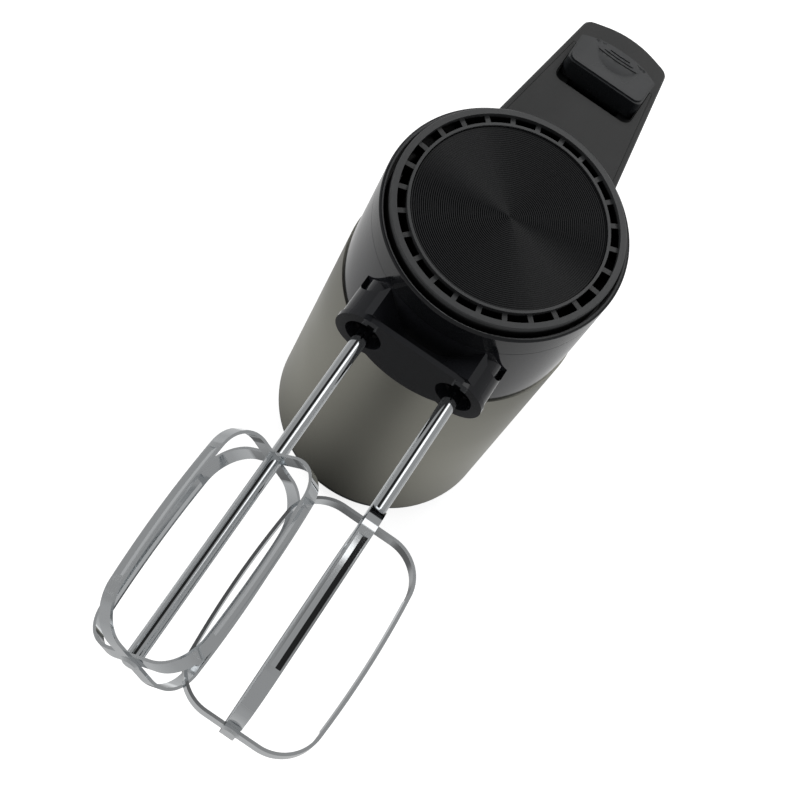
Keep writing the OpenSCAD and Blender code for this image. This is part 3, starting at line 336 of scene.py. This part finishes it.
# Worm wheels, motor frame and fan. They are acetal, glass-filled nylon and polypropylene,
# each with the fine grain of its spark-eroded tool, which turns the shine satin. The gloss
# drifts slowly where hands or the tool have polished it.
def moulded_plastic(name, shade, rough, grain=2600.0, depth=0.00008, ior=1.52):
    surface, tree, shader, place = new_surface(name)
    fine = add_node(tree, "ShaderNodeTexNoise", {"Vector": place, "Scale": grain, "Detail": 2.0})
    cloud = add_node(tree, "ShaderNodeTexNoise", {"Vector": place, "Scale": 35.0, "Detail": 2.0})
    tone = add_node(tree, "ShaderNodeMapRange", {
        "Value": cloud.outputs["Fac"], "From Min": 0.3, "From Max": 0.7,
        "To Min": rough - 0.04, "To Max": rough + 0.04})
    tint = add_node(tree, "ShaderNodeMixRGB", {
        "Fac": cloud.outputs["Fac"], "Color1": linear(shade),
        "Color2": [c * 0.9 for c in linear(shade)[:3]] + [1.0]})
    bump = add_node(tree, "ShaderNodeBump", {
        "Strength": 0.3, "Distance": depth, "Height": fine.outputs["Fac"]})
    shader.inputs["IOR"].default_value = ior
    tree.links.new(tint.outputs[0], shader.inputs["Base Color"])
    tree.links.new(tone.outputs["Result"], shader.inputs["Roughness"])
    tree.links.new(bump.outputs["Normal"], shader.inputs["Normal"])
    return surface


dress(moulded_plastic("natural_acetal", "#d9d5c4", 0.35), "worm_wheel_left", "worm_wheel_right")
dress(moulded_plastic("glass_filled_nylon", "#b8b4a6", 0.5, 1400.0), "motor_frame")
dress(moulded_plastic("fan_polypropylene", "#c9cdd0", 0.4), "cooling_fan")

# Springs. They are coiled music wire, polished by the drawing die. Each is a copy of its part
# with doubled points merged, hung on the housing.
spring_wire = bare_metal("coiled_music_wire", "#c3c5c8", 0.2, 1800.0)
for node, joint, stroke in (
        ("eject_spring", "eject_press", 0.006), ("turbo_spring", "turbo_press", 0.0025)):
    low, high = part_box(node)
    coil_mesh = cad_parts[node].data.copy()
    form = bmesh.new()
    form.from_mesh(coil_mesh)
    bmesh.ops.remove_doubles(form, verts=form.verts, dist=1e-7)
    form.to_mesh(coil_mesh)
    form.free()
    coil_mesh.materials.clear()
    coil_mesh.materials.append(spring_wire)
    coil = link_object(node.replace("spring", "coil"), coil_mesh)
    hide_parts(node)
    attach(coil, "housing")
    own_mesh(coil)

# Switch and its board. The switch is black phenolic and the board green glass laminate,
# whose woven cloth shows faintly through the lacquer.
dress(moulded_plastic("phenolic_switch", "#202124", 0.4), "speed_switch")
surface, tree, shader, place = new_surface("glass_laminate")
cloth = add_node(tree, "ShaderNodeTexWave", {"Vector": place, "Scale": 500.0}, bands_direction="X")
weft = add_node(tree, "ShaderNodeTexWave", {"Vector": place, "Scale": 500.0}, bands_direction="Z")
woven = add_node(tree, "ShaderNodeMath", {
    0: cloth.outputs["Fac"], 1: weft.outputs["Fac"]}, operation="MULTIPLY")
tint = add_node(tree, "ShaderNodeMixRGB", {
    "Fac": woven.outputs[0], "Color1": linear("#1d4a2a"), "Color2": linear("#2b6a3b")})
shader.inputs["Roughness"].default_value = 0.3
tree.links.new(tint.outputs[0], shader.inputs["Base Color"])
dress(surface, "switch_board")

# Metal shell of the motor. It is a drawn aluminium tube, bead-blasted and anodised in warm
# grey, so that its shine is broad and silky with a fine even sparkle.
surface, tree, shader, place = new_surface("blasted_grey_anodised_aluminium")
beads = add_node(tree, "ShaderNodeTexNoise", {"Vector": place, "Scale": 3200.0, "Detail": 2.0})
flow = add_node(tree, "ShaderNodeTexNoise", {"Vector": place, "Scale": 24.0, "Detail": 1.0})
tone = add_node(tree, "ShaderNodeMapRange", {
    "Value": flow.outputs["Fac"], "From Min": 0.3, "From Max": 0.7, "To Min": 0.32, "To Max": 0.36})
tint = add_node(tree, "ShaderNodeMixRGB", {
    "Fac": beads.outputs["Fac"], "Color1": linear("#99988f"), "Color2": linear("#8f8e86")})
bump = add_node(tree, "ShaderNodeBump", {
    "Strength": 0.2, "Distance": 0.00004, "Height": beads.outputs["Fac"]})
shader.inputs["Metallic"].default_value = 1.0
shader.inputs["Specular Tint"].default_value = (0.62, 0.62, 0.61, 1.0)
tree.links.new(tint.outputs[0], shader.inputs["Base Color"])
tree.links.new(tone.outputs["Result"], shader.inputs["Roughness"])
tree.links.new(bump.outputs["Normal"], shader.inputs["Normal"])
dress(surface, "body_shell")

# Rear cover and heel pad. The cover is black ABS, and the pad a soft black rubber that
# keeps the mixer from sliding when it stands on its heel.
dress(moulded_plastic("rear_black_abs", "#1b1c1d", 0.38), "rear_cover")
dress(moulded_plastic("heel_rubber", "#141414", 0.75, 1200.0, 0.00015), "heel_pad")


# Front housing and its boss. They are one black ABS moulding from a polished tool, which
# mirrors the room sharply. Fine handling marks vary the gloss.
def gloss_abs(name, shade, low=0.05, high=0.13):
    surface, tree, shader, place = new_surface(name)
    ripple = add_node(tree, "ShaderNodeTexNoise", {"Vector": place, "Scale": 45.0, "Detail": 2.0})
    marks = add_node(tree, "ShaderNodeTexNoise", {"Vector": place, "Scale": 900.0, "Detail": 4.0})
    wear = add_node(tree, "ShaderNodeMapRange", {
        "Value": marks.outputs["Fac"], "From Min": 0.35, "From Max": 0.7,
        "To Min": low, "To Max": high})
    bump = add_node(tree, "ShaderNodeBump", {
        "Strength": 0.08, "Distance": 0.0002, "Height": ripple.outputs["Fac"]})
    shader.inputs["Base Color"].default_value = linear(shade)
    shader.inputs["IOR"].default_value = 1.4
    tree.links.new(wear.outputs["Result"], shader.inputs["Roughness"])
    tree.links.new(bump.outputs["Normal"], shader.inputs["Normal"])
    return surface


dress(gloss_abs("polished_black_abs", "#202124"), "front_housing")


# Front bezel. It is a ring of the same black ABS, whose spigot plugs into the housing. A thin
# lighter line round its front face is a painted highlight.
def reopen(surface):
    tree = surface.node_tree
    shader = next(n for n in tree.nodes if n.type == "BSDF_PRINCIPLED")
    place = next(n for n in tree.nodes if n.type == "TEX_COORD").outputs["Object"]
    return tree, shader, place


highlight_r, highlight_core, highlight_edge = 0.0471, 0.0002, 0.0005
bezel_shade = "#1a1b1d"
bezel_black = gloss_abs("black_abs_painted_highlight", bezel_shade)
tree, shader, place = reopen(bezel_black)
flat = add_node(tree, "ShaderNodeVectorMath", {0: place, 1: (1, 1, 0)}, operation="MULTIPLY")
reach = add_node(tree, "ShaderNodeVectorMath", {0: flat.outputs[0]}, operation="LENGTH")
from_line = add_node(tree, "ShaderNodeMath", {
    0: reach.outputs["Value"], 1: highlight_r}, operation="SUBTRACT")
gap = add_node(tree, "ShaderNodeMath", {0: from_line.outputs[0]}, operation="ABSOLUTE")
# Painted highlight: a lighter grey ring at this radius.
highlight_mask = add_node(tree, "ShaderNodeMapRange", {
    "Value": gap.outputs[0], "From Min": highlight_core, "From Max": highlight_edge,
    "To Min": 1.0, "To Max": 0.0})
tint = add_node(tree, "ShaderNodeMixRGB", {
    "Fac": highlight_mask.outputs["Result"], "Color1": linear(bezel_shade), "Color2": linear("#7b7c7d")})
tree.links.new(tint.outputs[0], shader.inputs["Base Color"])
dress(bezel_black, "front_bezel")

# Nose grille. It is one moulding of dark grey ABS: a face ring, its ribs and the cup that
# holds the disc. From two millimetres behind its face it turns near black, painted shade for deep
# slots.
grille_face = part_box("nose_grille")[1].z
painted_shade_deep, painted_shade_edge = grille_face - 0.0025, grille_face - 0.0018
grille_grey = moulded_plastic("eroded_grey_abs_painted_shade", "#3b3c3d", 0.32)
tree, shader, place = reopen(grille_grey)
worn = shader.inputs["Base Color"].links[0].from_socket
axes = add_node(tree, "ShaderNodeSeparateXYZ", {"Vector": place})
# Painted shade: the colour turns near black deeper than this.
front = add_node(tree, "ShaderNodeMapRange", {
    "Value": axes.outputs["Z"], "From Min": painted_shade_deep, "From Max": painted_shade_edge})
tint = add_node(tree, "ShaderNodeMixRGB", {
    "Fac": front.outputs["Result"], "Color1": linear("#050505"), "Color2": worn})
tree.links.new(tint.outputs[0], shader.inputs["Base Color"])
dress(grille_grey, "nose_grille")

# Nose disc. It is black ABS whose tool was turned with fine rings, so that light fans out
# over it. The rings are cut into its face 0.8 mm apart, a little coarse so that they show.
# Its grooves are painted near black against dark grey lands, as painted shade in the grooves.
low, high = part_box("nose_disc")
disc_r, face, back = high.x, high.z, low.z
ring_pitch, ring_depth, flat_share = 0.0008, 0.00009, 0.35
first_ring, last_ring = disc_r - 0.0004, 0.0006
form = bmesh.new()
outline = [(0.0, back), (disc_r, back), (disc_r, face)]
radius = first_ring
while radius > last_ring:
    outline += [(radius, face), (radius - flat_share * ring_pitch, face),
                (radius - 0.42 * ring_pitch, face - 0.25 * ring_depth),
                (radius - 0.67 * ring_pitch, face - ring_depth),
                (radius - 0.93 * ring_pitch, face - 0.25 * ring_depth)]
    radius -= ring_pitch
outline.append((0.0, face))
chain = [form.verts.new((x, 0.0, z)) for x, z in outline]
edges = [form.edges.new(pair) for pair in zip(chain, chain[1:])]
bmesh.ops.spin(form, geom=chain + edges, cent=(0, 0, 0), axis=(0, 0, 1), dvec=(0, 0, 0),
               angle=math.tau, steps=160, use_merge=True)
bmesh.ops.remove_doubles(form, verts=form.verts, dist=1e-7)
bmesh.ops.recalc_face_normals(form, faces=form.faces)
disc_mesh = bpy.data.meshes.new("turned_disc")
form.to_mesh(disc_mesh)
form.free()
disc_mesh.shade_smooth()
disc_black = gloss_abs("turned_black_abs_painted_groove_shade", "#050506", 0.1, 0.14)
tree, shader, place = reopen(disc_black)
shader.inputs["IOR"].default_value = 1.26
flat = add_node(tree, "ShaderNodeVectorMath", {0: place, 1: (1, 1, 0)}, operation="MULTIPLY")
reach = add_node(tree, "ShaderNodeVectorMath", {0: flat.outputs[0]}, operation="LENGTH")
count = add_node(tree, "ShaderNodeMath", {
    0: first_ring, 1: reach.outputs["Value"]}, operation="SUBTRACT")
step = add_node(tree, "ShaderNodeMath", {
    0: count.outputs[0], 1: 1 / ring_pitch}, operation="MULTIPLY")
part = add_node(tree, "ShaderNodeMath", {0: step.outputs[0]}, operation="FRACT")
# Painted shade: 1 on the lands, 0 in the grooves, which get the near-black colour.
groove_shade_mask = add_node(tree, "ShaderNodeMapRange", {
    "Value": part.outputs[0], "From Min": flat_share, "From Max": 0.5,
    "To Min": 1.0, "To Max": 0.0})
tint = add_node(tree, "ShaderNodeMixRGB", {
    "Fac": groove_shade_mask.outputs["Result"], "Color1": linear("#010102"), "Color2": linear("#17181a")})
tree.links.new(tint.outputs[0], shader.inputs["Base Color"])
disc_mesh.materials.append(disc_black)
disc = link_object("turned_disc", disc_mesh)
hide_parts("nose_disc")
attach(disc, "housing")

# Handle, its panels, the speed slide and the turbo button. They are dark grey ABS with a
# satin skin, and the slide and button are a little smoother where thumbs rub them.
dress(moulded_plastic("handle_satin_abs", "#131414", 0.36), "handle_shell")
dress(moulded_plastic("panel_satin_abs", "#131414", 0.36), "front_panel", "control_panel")
dress(moulded_plastic("button_satin_abs", "#262829", 0.24), "speed_slider", "turbo_button")

# Eject button. Its cap is the same grey ABS with dark grip lines. Its rim is bevelled and the
# bevel coloured light grey as a painted highlight, and its sides are painted black as shade.
button_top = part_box("eject_button")[1].z
rim_band, rim_ease, sliver = 0.004, 0.0003, 6e-7
painted_highlight_rim, painted_shade_side = 1, 2
cap_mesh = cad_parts["eject_button"].data.copy()
form = bmesh.new()
form.from_mesh(cap_mesh)
bmesh.ops.remove_doubles(form, verts=form.verts, dist=1e-6)
bmesh.ops.dissolve_limit(form, angle_limit=math.radians(0.5), verts=form.verts, edges=form.edges)
# Faces that do not face up get the black of painted shade.
for face in form.faces:
    if face.normal.z < 0.5:
        face.material_index = painted_shade_side
rim = [e for e in form.edges if len(e.link_faces) == 2
       and min(v.co.z for v in e.verts) > button_top - rim_band
       and sorted(f.normal.z > 0.5 for f in e.link_faces) == [False, True]
       and min(f.calc_area() for f in e.link_faces) > sliver]
eased = bmesh.ops.bevel(form, geom=rim, offset=rim_ease, offset_type="OFFSET", affect="EDGES",
                        segments=2, profile=0.5, material=-1, clamp_overlap=True)
for face in eased["faces"]:
    face.material_index = painted_highlight_rim
form.to_mesh(cap_mesh)
form.free()
cap_mesh.materials.clear()
# Cap colour, light grey painted highlight for the rim bevel, black painted shade for the sides.
for finish in (moulded_plastic("cap_satin_abs", "#26282a", 0.26),
               moulded_plastic("rim_abs_painted_highlight", "#7a7b7d", 0.24),
               moulded_plastic("side_abs_painted_shade", "#040404", 0.5, ior=1.15)):
    cap_mesh.materials.append(finish)
cap_mesh.shade_smooth()
cap_mesh.set_sharp_from_angle(angle=math.radians(25))
cap = link_object("eject_cap", cap_mesh)
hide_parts("eject_button")
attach(cap, "eject_slide")

# Cord inlet. It is a soft black PVC bush that is pulled into the end of the grip, with the
# dull skin of a flexible moulding.
dress(moulded_plastic("cord_relief_pvc", "#151515", 0.5, 1500.0), "cord_inlet")

# Beaters. They are steel rod and strap, bent, riveted and bright chromed, with the faint
# waviness of the strap left in the chrome.
surface, tree, shader, place = new_surface("bright_chromed_steel")
wave = add_node(tree, "ShaderNodeTexNoise", {"Vector": place, "Scale": 160.0, "Detail": 2.0})
haze = add_node(tree, "ShaderNodeTexNoise", {"Vector": place, "Scale": 1200.0, "Detail": 3.0})
tone = add_node(tree, "ShaderNodeMapRange", {
    "Value": haze.outputs["Fac"], "From Min": 0.3, "From Max": 0.7, "To Min": 0.06, "To Max": 0.09})
bump = add_node(tree, "ShaderNodeBump", {
    "Strength": 0.02, "Distance": 0.0001, "Height": wave.outputs["Fac"]})
shader.inputs["Base Color"].default_value = linear("#d5d8da")
shader.inputs["Metallic"].default_value = 1.0
tree.links.new(tone.outputs["Result"], shader.inputs["Roughness"])
tree.links.new(bump.outputs["Normal"], shader.inputs["Normal"])
dress(surface, "beater_shaft_left", "beater_shaft_right", "outer_loop_left", "outer_loop_right",
      "inner_loop_left", "inner_loop_right")
